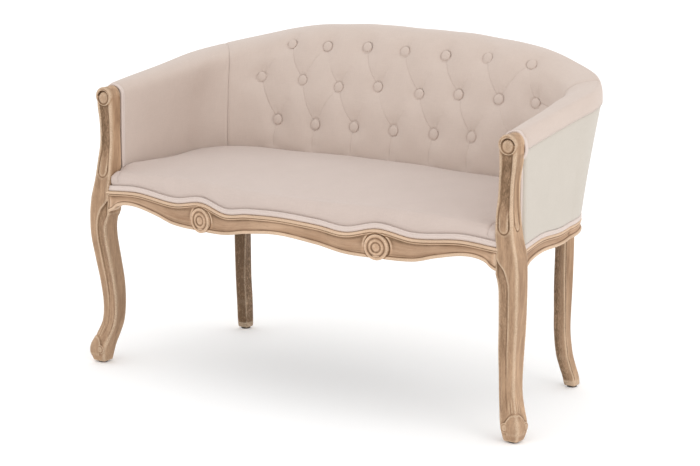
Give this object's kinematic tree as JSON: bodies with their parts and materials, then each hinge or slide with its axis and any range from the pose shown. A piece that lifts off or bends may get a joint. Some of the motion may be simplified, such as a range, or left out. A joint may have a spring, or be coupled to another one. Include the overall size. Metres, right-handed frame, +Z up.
{
  "type": "two-seater sofa",
  "caption": "Upholstered loveseat with a buttoned tub back, low padded arms, a serpentine carved rail and cabriole front legs ending in scroll arm posts.",
  "frame": {"origin": "on the floor, midway across the sofa and midway between its frontmost and rearmost points", "axes": "+X across the sofa, to the right as seen from the front; +Y from the front to the back; +Z up"},
  "size_m": [1.133, 0.595, 0.7541],
  "materials": {
    "show_wood": "brushed and limed, with brown glaze in the carving",
    "inner_wood": "raw",
    "screw_steel": "zinc plated",
    "webbing": "woven",
    "padding": "open cell foam",
    "seat_linen": "plain weave",
    "outside_linen": "plain weave",
    "welt_linen": "piped plain weave",
    "dust_cloth": "non-woven",
    "glide_plastic": "plain"
  },
  "bodies": {
    "root": {"front_left_leg": "show_wood", "front_right_leg": "show_wood", "rear_left_leg": "show_wood", "rear_right_leg": "show_wood", "front_rail": "show_wood", "left_side_rail": "show_wood", "right_side_rail": "show_wood", "back_rail": "show_wood", "left_arm_rail": "inner_wood", "right_arm_rail": "inner_wood", "crest_rail": "inner_wood", "rail_dowels": "inner_wood", "corner_blocks": "inner_wood", "corner_block_screws": "screw_steel", "seat_webbing": "webbing", "back_webbing": "webbing", "seat_foam": "padding", "seat_cover": "seat_linen", "inside_back": "seat_linen", "left_inside_arm": "seat_linen", "right_inside_arm": "seat_linen", "outside_back": "outside_linen", "left_outside_arm": "outside_linen", "right_outside_arm": "outside_linen", "back_buttons": "seat_linen", "seat_welt": "welt_linen", "left_arm_welt": "welt_linen", "right_arm_welt": "welt_linen", "outside_welt": "welt_linen", "dust_cover": "dust_cloth", "floor_glides": "glide_plastic"}
  },
  "joints": []
}
